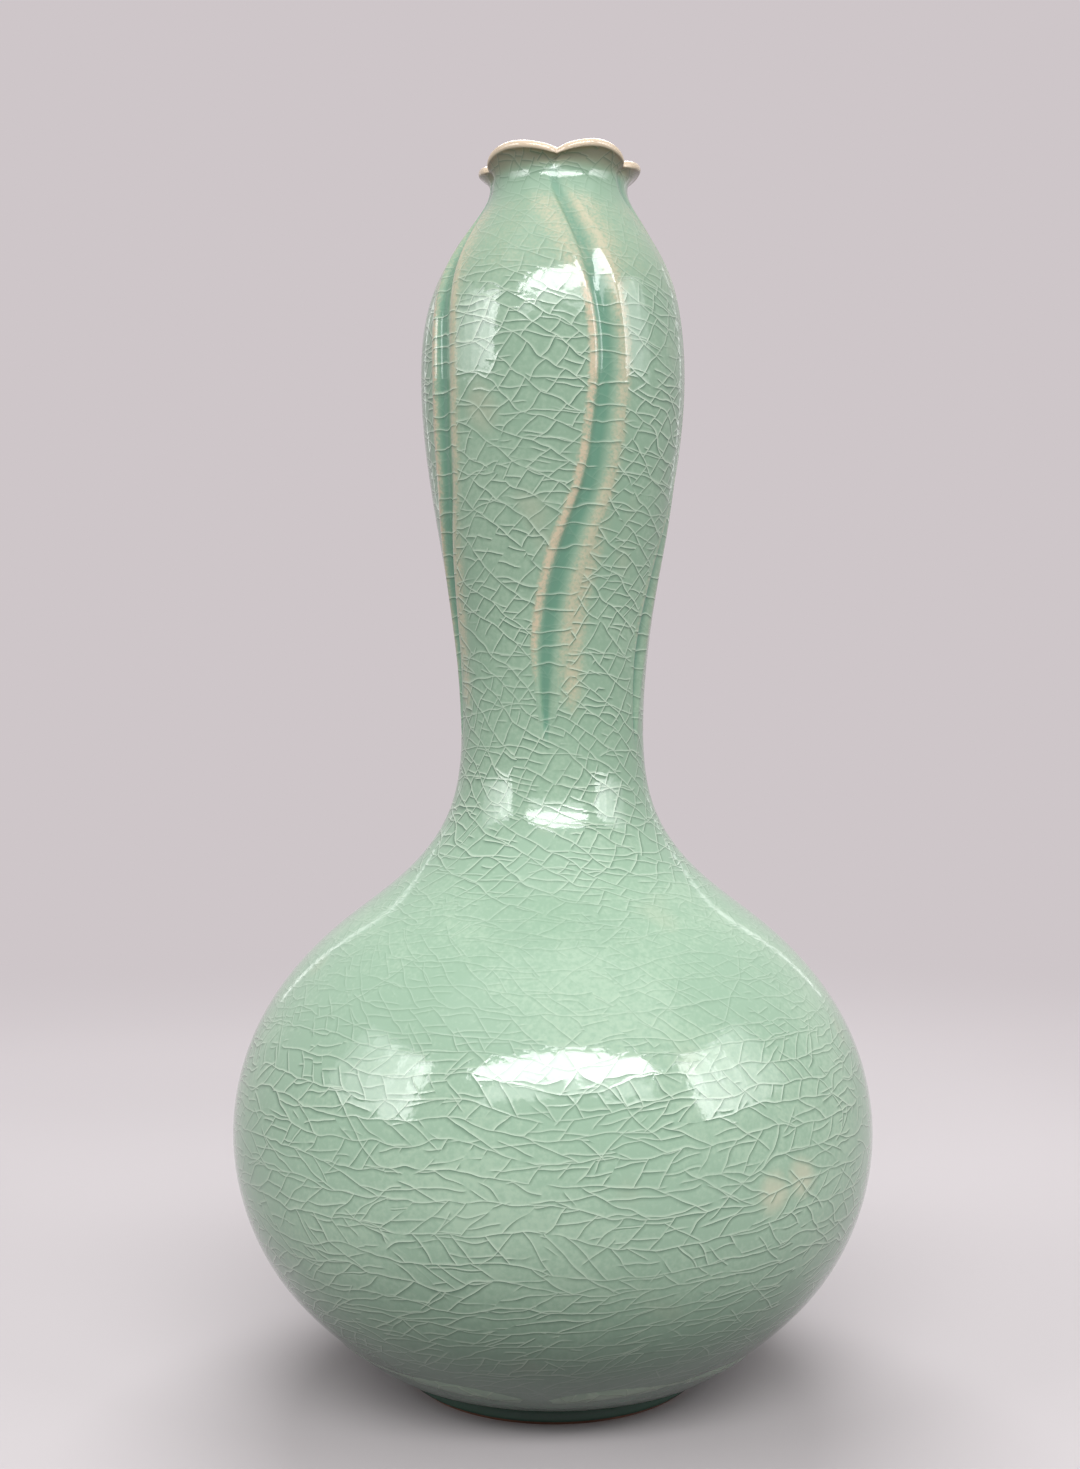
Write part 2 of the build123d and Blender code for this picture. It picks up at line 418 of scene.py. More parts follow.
def leaned_place(chain, rows, column, columns):
    """Final points of a spun skin, in metres, with what the material needs to know about them."""
    radius = chain[rows, 0]
    level = chain[rows, 1]
    step = np.gradient(chain, axis=0)
    step /= np.linalg.norm(step, axis=1)[:, None]
    outwards = np.column_stack([step[:, 1], -step[:, 0]])[rows]
    lines = groove_lines(level)
    angle = between_lines(lines, column, columns)
    groove = np.zeros((5, len(rows)))
    for line, warm in zip(lines, groove_warmth):
        shares = np.array(groove_moves(np.radians(angle - line) * radius, level))
        shares[2:4] *= warm
        groove += shares
    move, pool, thin, pale, zone = groove
    inside = outwards[:, 0] < 0
    move[inside] *= -inner_wall_follows
    inwards, downwards = petal_pull(column, columns)
    share = rim_share(chain)[rows]
    radius = radius + move * outwards[:, 0] - notch_pull_in * inwards * share
    level_moved = level + move * outwards[:, 1] - notch_pull_down * downwards * share
    points = place_at(angle, radius, level_moved)
    points[:, 0] += mouth_shift * MM * smooth(mouth_shift_start, mouth_shift_end, level)
    return points, {"pool": pool, "thin": thin, "pale": pale, "groove": zone}


print("petals pulled in by", notch_pull_in, "mm and down by", notch_pull_down, "mm at the notches")


# %% From a chain to a finished piece
def keep_attribute(mesh, name, values):
    attribute = mesh.attributes.new(name, "FLOAT", "POINT")
    attribute.data.foreach_set("value", values.astype(np.float32))


def wrap_uv(mesh, around, along):
    """A UV map: once around the vase, and from the foot to the end of the chain."""
    corners = np.empty(len(mesh.loops), dtype=np.int32)
    mesh.loops.foreach_get("vertex_index", corners)
    corner_around = around[corners].reshape(-1, 4)
    spread = corner_around.max(axis=1) - corner_around.min(axis=1)
    wrapped = (spread > 0.5)[:, None] & (corner_around < 0.5)
    corner_around = corner_around + wrapped
    corner_places = np.column_stack([corner_around.ravel(), along[corners]])
    uv = mesh.uv_layers.new(name="wrap")
    uv.data.foreach_set("uv", corner_places.astype(np.float32).ravel())


def turned_skin(name, chain, columns, closed=False):
    """A spun mesh with its grooves and petals: also the row and column of each vertex, and its shares."""
    mesh, rows, column = spun(name, chain, columns, closed)
    points, shares = leaned_place(chain, rows, column, columns)
    mesh.vertices.foreach_set("co", points.ravel())
    mesh.polygons.foreach_set("use_smooth", np.ones(len(mesh.polygons), dtype=bool))
    mesh.update()
    return mesh, rows, column, shares


def finished(name, mesh, slot, *nodes):
    """Link a piece into the scene, ride it on the vase and hide the frame's parts that it replaces."""
    piece = bpy.data.objects.new(name, mesh)
    bpy.context.collection.objects.link(piece)
    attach(piece, "root")
    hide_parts(*nodes)
    return piece


# %% Build the glaze skin
skin_columns = columns_per_gap * 5
skin_thickness = 0.55

skin_mesh, skin_rows, skin_column, groove_shares = turned_skin("celadon_coat", skin_chain, skin_columns)
chain_length = np.concatenate([[0], np.cumsum(np.linalg.norm(np.diff(skin_chain, axis=0), axis=1))])
for share_name, share_values in groove_shares.items():
    keep_attribute(skin_mesh, share_name, share_values)
keep_attribute(skin_mesh, "along", chain_length[skin_rows])
keep_attribute(skin_mesh, "lip_edge", hump(skin_rows, lip_start_row + 0.5, 1.3))
keep_attribute(skin_mesh, "lip", smooth(lip_start_row + 0.5, lip_start_row + 2.5, skin_rows)
               * (1 - smooth(lip_start_row + 10, lip_start_row + 15, skin_rows)))
keep_attribute(skin_mesh, "under_lip", smooth(throat[1] + 0.5, lip_level - 3, skin_chain[skin_rows, 1])
               * (skin_rows < lip_start_row + 2))
upright_lines = np.repeat(gap_edges[:, None], len(skin_rows), axis=1)
skin_around = (between_lines(upright_lines, skin_column, skin_columns) - seam_angle) / 360.0
wrap_uv(skin_mesh, skin_around, chain_length[skin_rows] / chain_length[-1])
celadon_coat = finished("celadon_coat", skin_mesh, "celadon_glaze", "outer_glaze")
coat = celadon_coat.modifiers.new("coat", "SOLIDIFY")
coat.thickness = skin_thickness * MM
coat.offset = -1
coat.use_even_offset = False
skin_height = max(vertex.co.z for vertex in skin_mesh.vertices) / MM
print("celadon_coat:", len(skin_mesh.polygons), "faces, lip at", round(skin_height, 2), "mm")

# %% [markdown]
# ## The inside
# The liner is a thinner pour of the same glaze, rinsed round inside and emptied out.
# Between it and the outer coat lies the clay of the upper bulb, with the same lean and grooves,
# so that it stays under both coats.
# Both are spun from the same outline, moved inwards by the thickness of the wall there.

# %% The liner
wall_at_foot = 5.6
wall_at_lip = 1.2
liner_depth = 0.4
floor_level = 12.9
floor_corner_level = 38.0
floor_corner_run = 19.2
corner_pull_in = 9.0
corner_pull_up = 2.0
liner_columns = 110


def wall_depth(length):
    return outer_coat + wall_at_foot + (wall_at_lip - wall_at_foot) * length / lip_length


def inside_rows(low, high, count, extra=0.0):
    length = np.linspace(low, high, count)
    return on_outline(length, wall_depth(length) + extra)


liner_side = inside_rows(length_at(throat_end_level), length_at(floor_corner_level), 70, liner_depth)
liner_side[0] = skin_chain[-1]
corner_start = liner_side[-1]
corner_pull = np.array([corner_start[0] - corner_pull_in, floor_level + corner_pull_up])
corner_end = np.array([corner_start[0] - floor_corner_run, floor_level])
liner_corner = bent(corner_start, corner_pull, corner_end, np.linspace(0.1, 1, 10))
liner_floor = [(radius, floor_level) for radius in np.linspace(corner_end[0], 0, 9)[1:]]
liner_chain = np.concatenate([liner_side, liner_corner, liner_floor])
liner_mesh = turned_skin("liner_coat", liner_chain, liner_columns)[0]
liner_coat = finished("liner_coat", liner_mesh, "liner_glaze", "inner_glaze")
print("liner_coat:", len(liner_mesh.polygons), "faces, floor at", floor_level, "mm")

# %% Clay of the upper bulb
clay_start = length_at(neck_joint_level)
clay_outside = on_outline(np.linspace(clay_start, lip_length, 80), outer_coat)
clay_inside = inside_rows(lip_length, clay_start, 80)
clay_chain = np.concatenate([clay_outside, clay_inside])
clay_mesh = turned_skin("clay_bulb", clay_chain, skin_columns, closed=True)[0]
clay_bulb = finished("clay_bulb", clay_mesh, "stoneware", "upper_bulb")
print("clay_bulb:", len(clay_mesh.polygons), "faces from", round(neck_joint_level, 1), "mm up")

# %% [markdown]
# ## Node helpers
# A procedural finish is a small sum worked out at every point of a surface.
# Wiring each node by hand takes many lines, so a sheet of nodes gets a few short verbs:
# add a node, calculate with values, ease between two limits, mix two colours.

# %% A sheet of nodes
def srgb(red, green, blue):
    """A colour picked on a screen, 0 to 255, as the linear colour that a shader takes."""
    shares = np.array([red, green, blue]) / 255
    linear = np.where(shares <= 0.04045, shares / 12.92, ((shares + 0.055) / 1.055) ** 2.4)
    return (*linear.tolist(), 1.0)


class Sheet:
    """The node tree of one material, with verbs that add and wire nodes."""

    def __init__(self, name):
        self.material = bpy.data.materials.new(name)
        self.material.use_nodes = True
        self.tree = self.material.node_tree
        self.shader = self.tree.nodes["Principled BSDF"]
        self.where = self.add("ShaderNodeTexCoord").outputs["Object"]

    def feed(self, socket, value):
        if isinstance(value, bpy.types.NodeSocket):
            self.tree.links.new(value, socket)
        else:
            socket.default_value = value

    def add(self, kind, inputs=None, **settings):
        node = self.tree.nodes.new(kind)
        for key, value in settings.items():
            setattr(node, key, value)
        for key, value in (inputs or {}).items():
            self.feed(node.inputs[key], value)
        return node

    def calc(self, operation, *values):
        """Math on one value, or on two and then on the result and each further value."""
        if len(values) == 1:
            return self.add("ShaderNodeMath", {0: values[0]}, operation=operation).outputs[0]
        result = values[0]
        for value in values[1:]:
            result = self.add("ShaderNodeMath", {0: result, 1: value}, operation=operation).outputs[0]
        return result

    def ease(self, value, low, high, bottom=0.0, top=1.0):
        """Smooth steps from bottom to top while a value goes from low to high."""
        inputs = {"Value": value, "From Min": low, "From Max": high, "To Min": bottom, "To Max": top}
        return self.add("ShaderNodeMapRange", inputs, interpolation_type="SMOOTHSTEP").outputs["Result"]

    def fall(self, value, reach):
        """From one at zero down to nothing at a reach, steepest at the start."""
        share = self.calc("SUBTRACT", 1.0, self.calc("DIVIDE", value, reach))
        return self.calc("POWER", self.calc("MAXIMUM", share, 0.0), 2.0)

    def noise(self, size, amount, seed=0.0, detail=1.0):
        """Soft noise around zero, with blots of a size in mm and swings of about half an amount."""
        inputs = {"Vector": self.where, "W": seed, "Scale": 1 / (size * MM), "Detail": detail}
        fac = self.add("ShaderNodeTexNoise", inputs, noise_dimensions="4D").outputs[0]
        return self.calc("MULTIPLY", self.calc("SUBTRACT", fac, 0.5), amount)

    def attribute(self, name):
        """A value that the mesh holds at each vertex."""
        return self.add("ShaderNodeAttribute", attribute_name=name).outputs["Fac"]

    def level(self):
        """The height above the table in mm."""
        height = self.add("ShaderNodeSeparateXYZ", {"Vector": self.where}).outputs["Z"]
        return self.calc("DIVIDE", height, MM)

    def distance(self, place):
        """How far away a place in mm is."""
        target = [value * MM for value in place]
        away = self.add("ShaderNodeVectorMath", {0: self.where, 1: target}, operation="DISTANCE")
        return self.calc("DIVIDE", away.outputs["Value"], MM)

    def parts(self, colour):
        """The three random numbers that a colour holds."""
        return self.add("ShaderNodeSeparateColor", {"Color": colour}).outputs

    def tint(self, share, base, colour):
        """A base colour mixed towards another by a share."""
        node = self.add("ShaderNodeMix", data_type="RGBA")
        self.feed(node.inputs["Factor"], share)
        self.feed(node.inputs[6], base)
        self.feed(node.inputs[7], colour)
        return node.outputs[2]

    def finish(self, colour, roughness, height, relief):
        """Wire the colour, the roughness and a relief of some mm into the shader."""
        self.feed(self.shader.inputs["Base Color"], colour)
        self.feed(self.shader.inputs["Roughness"], roughness)
        bump = self.add("ShaderNodeBump", {"Height": height, "Distance": relief * MM})
        self.feed(self.shader.inputs["Normal"], bump.outputs["Normal"])
        return self.material


print("half of white on a screen is", round(srgb(128, 128, 128)[0], 2), "of its light")

# %% [markdown]
# ## Crackle
# As the glaze cools it shrinks more than the clay, and it tears into a fine net.
# The first cracks run long. Later ones cross from one crack to the next and stop there.
# A Voronoi texture meets in Y shapes, like foam. So each family of cracks is a row of uneven steps
# along one direction, bent by noise, and every strip between two cracks gives the next family a new start.
# The glaze curls up a little at each crack, and the relief keeps that as a small bump. The colour paints
# each crack with a pale upper side and a dark lower one, as light from above falls on it: painted highlight
# and painted shade beside the crack line.

# %% Families of cracks
# Reach in mm of the painted highlight above a crack and of the painted shade below it.
lit_side_width = 0.8
shaded_side_width = 1.1
flattest_zigzag = 0.4
flattest_rise = 0.8
rise_spread = 1.4
new_start = 500.0


def crack_family(sheet, place, spacing, gaps, seed):
    """Cracks at uneven steps of a place in mm, with some gaps.

    Gives their lit sides and their dark sides, which are painted highlight and painted shade, and the
    random numbers of each strip between them."""
    steps = {"W": sheet.calc("DIVIDE", place, spacing), "Scale": 1.0}
    edge = sheet.add("ShaderNodeTexVoronoi", steps, voronoi_dimensions="1D", feature="DISTANCE_TO_EDGE")
    strip = sheet.add("ShaderNodeTexVoronoi", steps, voronoi_dimensions="1D", feature="F1")
    away = sheet.calc("MULTIPLY", edge.outputs["Distance"], spacing)
    here = sheet.ease(sheet.noise(11, 1.0, seed + 0.7), gaps - 0.5, gaps - 0.44)
    # The side above a crack gets painted highlight, the side below it painted shade.
    above = sheet.calc("LESS_THAN", steps["W"], strip.outputs["W"])
    below = sheet.calc("SUBTRACT", 1.0, above)
    lit = sheet.calc("MULTIPLY", sheet.fall(away, lit_side_width), above, here)
    dark = sheet.calc("MULTIPLY", sheet.fall(away, shaded_side_width), below, here)
    return lit, dark, sheet.parts(strip.outputs["Color"])


def slanted(sheet, around, along, slope):
    """A place that grows upwards and stays the same along lines of a slope."""
    steepness = sheet.calc("SQRT", sheet.calc("ADD", sheet.calc("MULTIPLY", slope, slope), 1.0))
    rise = sheet.calc("MULTIPLY", slope, around)
    return sheet.calc("DIVIDE", sheet.calc("SUBTRACT", along, rise), steepness)


def zigzag_slope(sheet, number):
    """A slope from the flattest one up to one more, upwards or downwards, from a random number."""
    lean = sheet.calc("SUBTRACT", sheet.calc("MULTIPLY", number, 2.0), 1.0)
    steep = sheet.calc("MULTIPLY", sheet.calc("SIGN", lean), flattest_zigzag)
    return sheet.calc("ADD", steep, lean)


def rising_slope(sheet, number):
    """An upward slope from a random number."""
    return sheet.calc("ADD", sheet.calc("MULTIPLY", number, rise_spread), flattest_rise)


# %% Nets of cracks
belly_plan = [
    (0.0, 6.2, 0.33, 12.0, False),
    ("zigzag", 5.4, 0.39, 5.0, True),
    (0.1, 4.4, 0.42, 6.0, True),
    (-0.8, 13.0, 0.48, 12.0, False),
    (0.8, 16.0, 0.5, 12.0, False),
]
bulb_plan = [
    (-0.6, 6.2, 0.33, 12.0, False),
    ("rising", 5.2, 0.34, 4.0, True),
    (-0.15, 4.6, 0.42, 5.0, True),
    (0.0, 9.0, 0.4, 14.0, False),
]


def crack_net(sheet, around, along, plan, seed):
    """Families by a plan: slope, spacing in mm, gaps, bend in mm, and whether the family joins.

    A family that joins starts anew in each strip of the family before it."""
    families = []
    for count, (slope, spacing, gaps, bend, joins) in enumerate(plan):
        if slope == "zigzag":
            slope = zigzag_slope(sheet, families[-1][2][0])
        if slope == "rising":
            slope = rising_slope(sheet, families[-1][2][0])
        wide_bend = sheet.noise(28, bend, seed + count)
        small_bend = sheet.noise(9, 4.0, seed + count + 0.3)
        place = sheet.calc("ADD", slanted(sheet, around, along, slope), wide_bend, small_bend)
        if joins:
            place = sheet.calc("ADD", place, sheet.calc("MULTIPLY", families[-1][2][1], new_start))
        families.append(crack_family(sheet, place, spacing, gaps, seed + count))
    lit, dark, numbers = zip(*families)
    tone = sheet.calc("ADD", *(number[0] for number in numbers))
    return sheet.calc("MAXIMUM", *lit), sheet.calc("MAXIMUM", *dark), tone


print(len(belly_plan), "families of cracks on the belly and", len(bulb_plan), "on the bulb")

# %% [markdown]
# ## Celadon glaze
# Celadon is a clear green glass over grey clay, so its colour is a matter of thickness.
# Where it pools, in the grooves and at the foot, it turns deep teal. The deep green that darkens the lower
# belly and the heel is partly that thicker glaze and partly painted shade.
# Where it runs thin, on the groove edges and the lip, the warm clay shows through as tan.
# The skin already knows its pools and thin places, so the material reads them from its attributes.

# %% Where the cracks show
bulb_net_radius = 33.0
net_border_level = 128.0
net_border_swing = 60.0
rung_spacing = 5.5
rung_gaps = 0.3


def crack_clearness(sheet, level):
    """Cracks are faint on the shoulder and the crown, and fade out at the heel and on the lip."""
    below_shoulder = sheet.ease(level, 88, 116, 1.0, 0.3)
    above_shoulder = sheet.ease(level, 130, 152, 0.3, 1.15)
    below_crown = sheet.ease(level, 288, 312, 1.0, 0.25)
    above_crown = sheet.ease(level, 325, 332, 0.0, 0.7)
    shoulder = sheet.calc("MAXIMUM", below_shoulder, above_shoulder)
    crown = sheet.calc("MAXIMUM", below_crown, above_crown)
    lip = sheet.calc("SUBTRACT", 1.0, sheet.attribute("lip"))
    heel = sheet.ease(level, 8, 40)
    uneven = sheet.ease(sheet.noise(16, 1.0, 25.0), -0.2, 0.2, 0.7, 1.2)
    return sheet.calc("MULTIPLY", shoulder, crown, lip, heel, uneven)


def celadon_cracks(sheet, level):
    """Painted highlight and painted shade on the two sides of the cracks, and a random tone of the cells
    between them.

    The belly and the bulb have nets of their own, and rungs cross the grooves."""
    wrap = sheet.add("ShaderNodeUVMap", uv_map="wrap").outputs["UV"]
    turn = sheet.add("ShaderNodeSeparateXYZ", {"Vector": wrap}).outputs["X"]
    along = sheet.attribute("along")
    in_groove = sheet.attribute("groove")
    nets = []
    for radius, plan, seed in ((belly_radius, belly_plan, 1.0), (bulb_net_radius, bulb_plan, 7.0)):
        around = sheet.calc("MULTIPLY", turn, 2 * math.pi * radius)
        nets.append(crack_net(sheet, around, along, plan, seed))
    border = sheet.calc("ADD", level, sheet.noise(18, net_border_swing, 12.0))
    upper = sheet.calc("GREATER_THAN", border, net_border_level)
    lower = sheet.calc("SUBTRACT", 1.0, upper)
    lit, dark, tones = [
        sheet.calc("ADD", sheet.calc("MULTIPLY", belly, lower), sheet.calc("MULTIPLY", bulb, upper))
        for belly, bulb in zip(*nets)]
    rung_place = sheet.calc("ADD", along, sheet.noise(7, 4.0, 20.0))
    lit_rungs, shaded_rungs, _ = crack_family(sheet, rung_place, rung_spacing, rung_gaps, 20.0)
    outside = sheet.ease(in_groove, 0.2, 0.6, 1.0, 0.1)
    lit = sheet.calc("MAXIMUM", sheet.calc("MULTIPLY", lit, outside),
                     sheet.calc("MULTIPLY", lit_rungs, in_groove))
    dark = sheet.calc("MAXIMUM", sheet.calc("MULTIPLY", dark, outside),
                      sheet.calc("MULTIPLY", shaded_rungs, in_groove))
    clear = crack_clearness(sheet, level)
    # Under the rim the painted highlight of the cracks is weaker.
    below_rim = sheet.ease(level, 322, 331, 1.0, 0.3)
    return sheet.calc("MULTIPLY", lit, clear, below_rim), sheet.calc("MULTIPLY", dark, clear), tones


print("the nets meet about", net_border_level, "mm up, with rungs every", rung_spacing, "mm in the grooves")

# %% The colour of the glaze
pale_spot = [(52.4, -71.6, 68.4), (60.0, -65.4, 70.8)]


def even_celadon(sheet, level, tones):
    """Mottled green, paler on the belly, with a faint blush and one pale spot."""
    mottle = sheet.calc("ADD", sheet.noise(40, 1.0, 13.0, 3.0), sheet.noise(1.2, 0.8, 16.0, 2.0))
    mottle = sheet.calc("ADD", mottle, sheet.calc("MULTIPLY", tones, 0.05))
    paler = sheet.ease(mottle, 0.0, 0.4)
    upper_glaze = sheet.tint(paler, srgb(141, 171, 147), srgb(155, 182, 158))
    lower_glaze = sheet.tint(paler, srgb(150, 180, 156), srgb(164, 191, 167))
    colour = sheet.tint(sheet.ease(level, 100, 190), lower_glaze, upper_glaze)
    blush = sheet.ease(sheet.noise(26, 1.0, 14.0), 0.17, 0.3, 0.0, 0.3)
    colour = sheet.tint(blush, colour, srgb(196, 186, 164))
    from_spot = sheet.calc("MINIMUM", *(sheet.distance(place) for place in pale_spot))
    from_spot = sheet.calc("ADD", from_spot, sheet.noise(5, 4.0, 24.0))
    return sheet.tint(sheet.ease(from_spot, 1.0, 7.0, 0.5, 0.0), colour, srgb(212, 204, 178))


def pooled_and_thin(sheet, level, colour):
    """Teal pools, tan edges where the glaze is thin, a cream lip edged with brown, and a deep green lower
    belly and foot, partly thicker glaze and partly painted shade.
    """
    fine_grain = sheet.noise(0.8, 2.2, 15.0, 2.0)
    grain = sheet.calc("ADD", fine_grain, sheet.noise(4, 0.7, 19.0), sheet.noise(9, 0.6, 17.0), 0.95)
    pale = sheet.calc("MULTIPLY", sheet.attribute("pale"), grain)
    thin = sheet.calc("MULTIPLY", sheet.attribute("thin"), grain)
    layers = [
        (sheet.calc("MULTIPLY", sheet.attribute("pool"), 0.88), srgb(96, 146, 123)),
        # The pale share: cream ridges and patches, and at the crown partly painted sheen.
        (sheet.ease(pale, 0.05, 1.2, 0.0, 0.8), srgb(197, 188, 160)),
        (sheet.ease(thin, 0.15, 1.05, 0.0, 0.9), srgb(208, 190, 162)),
        (sheet.calc("MULTIPLY", sheet.attribute("under_lip"), 0.75), srgb(160, 147, 119)),
        (sheet.attribute("lip"), srgb(218, 199, 173)),
        (sheet.calc("MULTIPLY", sheet.attribute("lip_edge"), 0.6), srgb(160, 120, 84)),
        # Darker towards the foot: partly glaze pooled thicker there, partly painted shade on the lower
        # belly and the heel.
        (sheet.ease(level, 62.0, 8.0, 0.0, 0.76), srgb(64, 101, 83)),
        (sheet.ease(level, 12.0, 2.0, 0.0, 0.75), srgb(48, 80, 68)),
    ]
    for share, layer in layers:
        colour = sheet.tint(share, colour, layer)
    return colour


print("pale spot from", pale_spot[0], "to", pale_spot[1], "mm")

# %% The celadon finish
glaze_ior = 1.58


def celadon_finish():
    sheet = Sheet("celadon_crackle")
    level = sheet.level()
    lit, dark, tones = celadon_cracks(sheet, level)
    colour = pooled_and_thin(sheet, level, even_celadon(sheet, level, tones))
    # Painted shade on the lower sides of the cracks, painted highlight on their upper sides.
    colour = sheet.tint(sheet.calc("MULTIPLY", dark, 0.78), colour, srgb(78, 110, 90))
    colour = sheet.tint(sheet.calc("MULTIPLY", lit, 0.62), colour, srgb(209, 227, 206))
    roughness = sheet.ease(lit, 0.0, 1.0, 0.08, 0.12)
    curl = sheet.calc("MULTIPLY", sheet.calc("ADD", lit, dark), 0.02)
    ripple = sheet.calc("ADD", curl, sheet.noise(1.6, 0.03, 18.0))
    sheet.shader.inputs["IOR"].default_value = glaze_ior
    return sheet.finish(colour, roughness, ripple, 1.0)


def cover(piece, material):
    piece.data.materials.clear()
    piece.data.materials.append(material)


cover(celadon_coat, celadon_finish())
print("celadon finish on", celadon_coat.name)

# %% [markdown]
# ## Liner, base and clay
# The liner and the glazed base are poured thin, with the same cracks but no pools.
# No seam map runs over them, so a plain cell texture on their own coordinates gives the cracks.
# The bare clay shows only at the foot: reddish brown from the kiln, matt, with sandy grains.

# %% Plainer finishes
cell_size = 8.0


def thin_celadon_finish(name):
    sheet = Sheet(name)
    nudge = sheet.noise(9, 5.0, 20.0)
    in_mm = sheet.add("ShaderNodeVectorMath", {0: sheet.where, 1: [1 / MM] * 3}, operation="MULTIPLY")
    place = sheet.add("ShaderNodeVectorMath", {0: in_mm.outputs[0], 1: nudge}, operation="ADD").outputs[0]
    cells = sheet.add("ShaderNodeTexVoronoi", {"Vector": place, "Scale": 1 / cell_size},
                      feature="DISTANCE_TO_EDGE")
    cracks = sheet.ease(cells.outputs["Distance"], 0.0, 0.05, 1.0, 0.0)
    cloud = sheet.ease(sheet.noise(30, 1.0, 21.0), -0.2, 0.2)
    colour = sheet.tint(cloud, srgb(146, 172, 150), srgb(158, 182, 158))
    colour = sheet.tint(sheet.calc("MULTIPLY", cracks, 0.4), colour, srgb(200, 216, 194))
    return sheet.finish(colour, sheet.ease(cracks, 0.0, 1.0, 0.09, 0.22), cracks, 0.1)


def clay_finish(name, dark, light, grain):
    sheet = Sheet(name)
    colour = sheet.tint(sheet.ease(sheet.noise(14, 1.0, 22.0, 3.0), -0.2, 0.2), dark, light)
    sand = sheet.noise(grain, 1.0, 23.0, 4.0)
    colour = sheet.tint(sheet.ease(sand, 0.14, 0.24, 0.0, 0.6), colour, srgb(70, 48, 38))
    return sheet.finish(colour, sheet.ease(sand, -0.3, 0.3, 0.7, 0.9), sand, 0.25)


stoneware = clay_finish("bare_stoneware", srgb(122, 82, 62), srgb(152, 106, 80), 0.9)
joining_slip = clay_finish("joining_slip", srgb(150, 126, 104), srgb(172, 148, 124), 0.6)
cover(liner_coat, thin_celadon_finish("liner_celadon"))
cover(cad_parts["base_glaze"], thin_celadon_finish("base_celadon"))
for piece in [clay_bulb, *(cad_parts[name] for name in ("foot_ring", "lower_bowl", "shoulder"))]:
    cover(piece, stoneware)
for name in ("foot_slip", "belly_slip", "neck_slip"):
    cover(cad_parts[name], joining_slip)
print("finishes on", len(bpy.data.materials), "materials")

# %% [markdown]
# ## Studio
# The photograph is taken level with the waist, from less than half a metre away.
# A broad arch of light hangs in front and above: it draws the bright bar on the belly and the
# dome on the upper bulb, and a dimmer panel under it softens their lower edge.
# A broad dim panel higher up lights the shoulders.
# At each side stands a bright strip, with panels beside it that fade outwards.
# A panel at the back edges the shoulders.
# Two thin strips behind draw the fine streaks along the sides.
# The floor is plain and pale.

# %% Floor and world
backdrop_colour = srgb(206, 198, 201)
world_light = 0.28
floor_half = 6.0


def seen_share(sheet):
    """One where the camera, a reflection or a refraction looks, and nothing for light that bounces."""
    path = sheet.add("ShaderNodeLightPath").outputs
    return sheet.calc("MAXIMUM", path["Is Camera Ray"], path["Is Glossy Ray"], path["Is Transmission Ray"])


def studio_floor():
    work = bmesh.new()
    bmesh.ops.create_grid(work, x_segments=8, y_segments=8, size=floor_half)
    mesh = bpy.data.meshes.new("studio_floor")
    work.to_mesh(mesh)
    work.free()
    floor = bpy.data.objects.new("studio_floor", mesh)
    bpy.context.collection.objects.link(floor)
    sheet = Sheet("pale_floor")
    seen = seen_share(sheet)
    cloud = sheet.ease(sheet.noise(400, 1.0, 30.0), -0.2, 0.2)
    colour = sheet.tint(cloud, srgb(176, 171, 173), srgb(182, 177, 179))
    colour = sheet.tint(seen, srgb(90, 88, 88), colour)
    cover(floor, sheet.finish(colour, 0.7, sheet.noise(4, 1.0, 31.0), 0.02))
    away = sheet.add("ShaderNodeVectorMath", {0: sheet.where}, operation="LENGTH").outputs["Value"]
    far = sheet.calc("MULTIPLY", sheet.ease(away, 0.2, 0.9), seen)
    glow = sheet.add("ShaderNodeEmission", {"Color": backdrop_colour})
    blend = sheet.add("ShaderNodeMixShader", {0: far, 1: sheet.shader.outputs[0], 2: glow.outputs[0]})
    sheet.feed(sheet.tree.nodes["Material Output"].inputs["Surface"], blend.outputs[0])
    return floor


def studio_world():
    world = bpy.data.worlds.new("studio")
    world.use_nodes = True
    tree = world.node_tree
    background = tree.nodes["Background"]
    background.inputs["Color"].default_value = backdrop_colour
    path = tree.nodes.new("ShaderNodeLightPath")
    seen = path.outputs["Is Camera Ray"]
    for kind in ("Is Glossy Ray", "Is Transmission Ray"):
        either = tree.nodes.new("ShaderNodeMath")
        either.operation = "MAXIMUM"
        tree.links.new(seen, either.inputs[0])
        tree.links.new(path.outputs[kind], either.inputs[1])
        seen = either.outputs[0]
    strength = tree.nodes.new("ShaderNodeMapRange")
    strength.inputs["To Min"].default_value = world_light
    tree.links.new(seen, strength.inputs["Value"])
    tree.links.new(strength.outputs["Result"], background.inputs["Strength"])
    bpy.context.scene.world = world


studio_floor()
studio_world()
print("floor", 2 * floor_half, "m wide, world light", world_light)

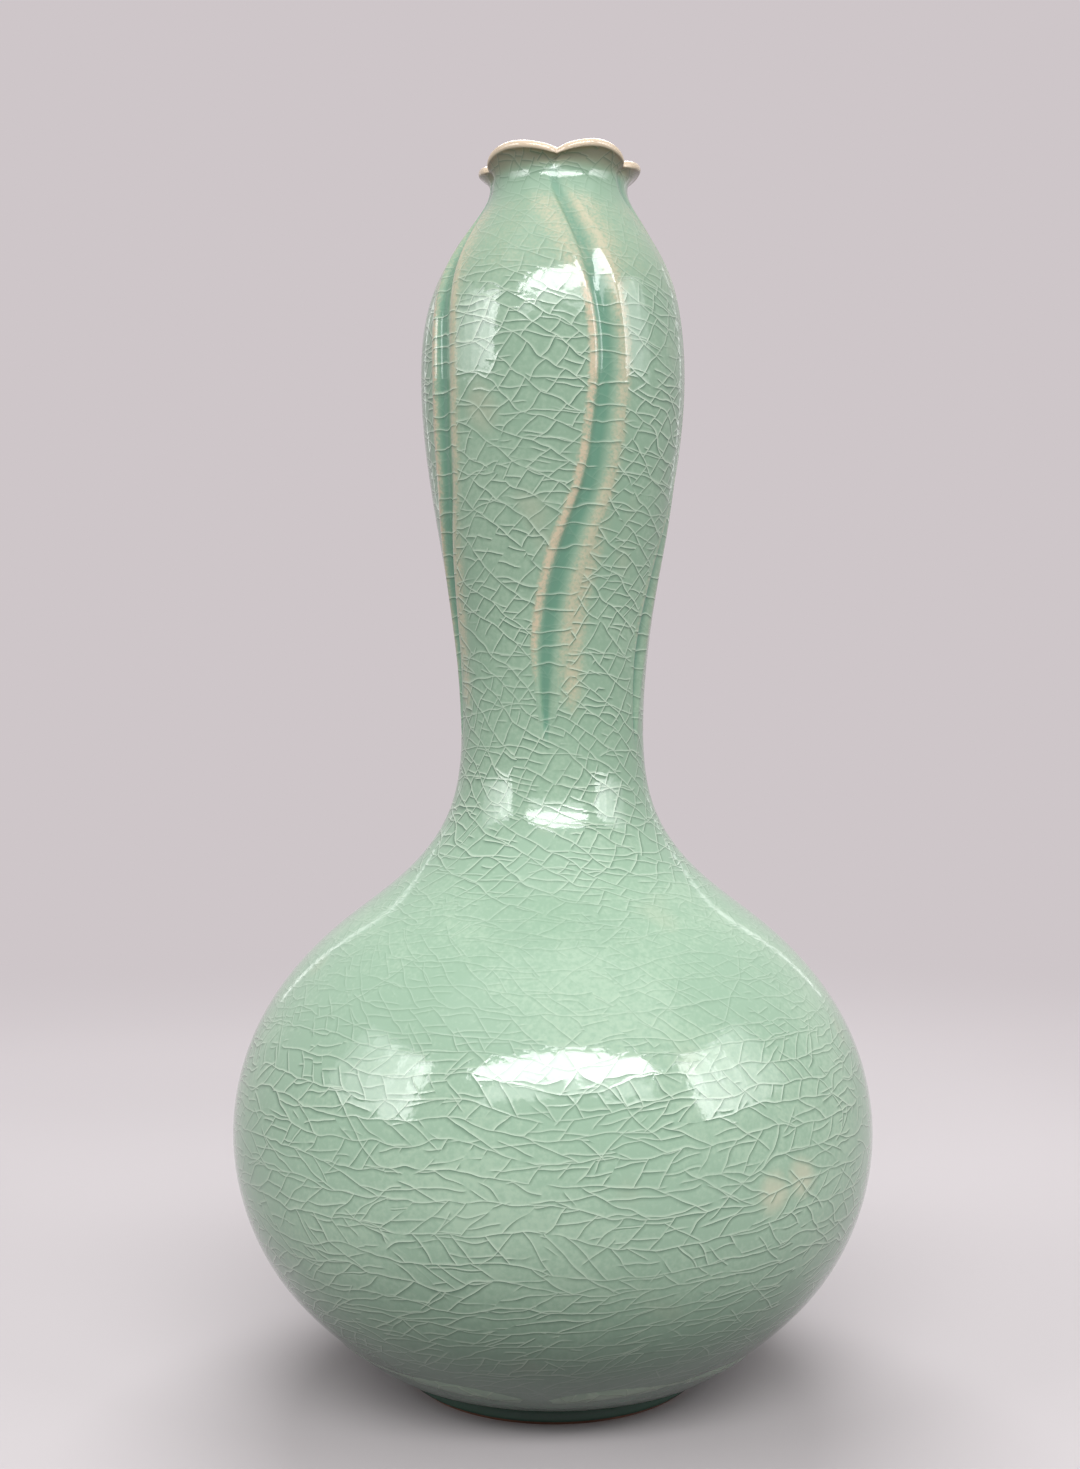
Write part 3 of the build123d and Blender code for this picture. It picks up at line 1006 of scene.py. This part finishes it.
# %% Camera
photo_height = 1469
focal_pixels = 1600
camera_sensor = 36.0
camera_place = Vector((-3.5, -453.0, 178.0)) * MM
camera = bpy.data.objects.new("camera", bpy.data.cameras.new("camera"))
camera.data.sensor_width = camera_sensor
camera.data.lens = camera_sensor * focal_pixels / photo_height
camera.data.clip_start = 0.01
camera.location = camera_place
camera.rotation_euler = (math.pi / 2, 0, 0)
bpy.context.collection.objects.link(camera)
bpy.context.scene.camera = camera
print("lens", round(camera.data.lens, 1), "mm at", [round(value, 3) for value in camera_place])

# %% Lamps
lamp_target = Vector((0, 0, 0.17))


def panel(name, shape, azimuth, elevation, distance, width, height, radiance):
    """A soft panel of light that faces the vase, placed in degrees and metres.

    Its power follows from how bright its face is."""
    turn = math.radians(azimuth)
    climb = math.radians(elevation)
    way = Vector((math.sin(turn) * math.cos(climb), -math.cos(turn) * math.cos(climb), math.sin(climb)))
    area = width * height * (math.pi / 4 if shape == "ELLIPSE" else 1.0)
    data = bpy.data.lights.new(name, "AREA")
    data.shape = shape
    data.size = width
    data.size_y = height
    data.energy = radiance * math.pi * area
    lamp = bpy.data.objects.new(name, data)
    lamp.location = lamp_target + way * distance
    lamp.rotation_euler = (-way).to_track_quat("-Z", "Y").to_euler()
    bpy.context.collection.objects.link(lamp)


fading_sides = [5.0, 3.6, 2.4, 1.4]
strip_turn = 54
first_side_turn = 60.5
side_step = 8.5

panel("front_arch", "ELLIPSE", 5, 43.5, 2.4, 2.9, 0.56, 11.5)
panel("front_skirt", "RECTANGLE", 5, 33.5, 2.4, 2.6, 0.3, 3.5)
panel("top_panel", "ELLIPSE", 5, 72, 1.8, 2.6, 1.4, 0.5)
panel("back_panel", "RECTANGLE", 180, 57, 1.8, 1.35, 0.82, 7.5)
for side, way in (("left", -1), ("right", 1)):
    panel(f"{side}_strip", "RECTANGLE", 1 + strip_turn * way, 25, 1.8, 0.14, 0.7, 7.0)
    for count, radiance in enumerate(fading_sides):
        azimuth = 1 + (first_side_turn + side_step * count) * way
        panel(f"{side}_panel_{count}", "RECTANGLE", azimuth, 25, 1.8, 0.27, 0.8, radiance)
    panel(f"back_{side}_strip", "RECTANGLE", 147 * way, 17, 1.8, 0.05, 0.85, 1.5)
bpy.context.scene.view_settings.view_transform = "Standard"
print("lamps", len(bpy.data.lights))
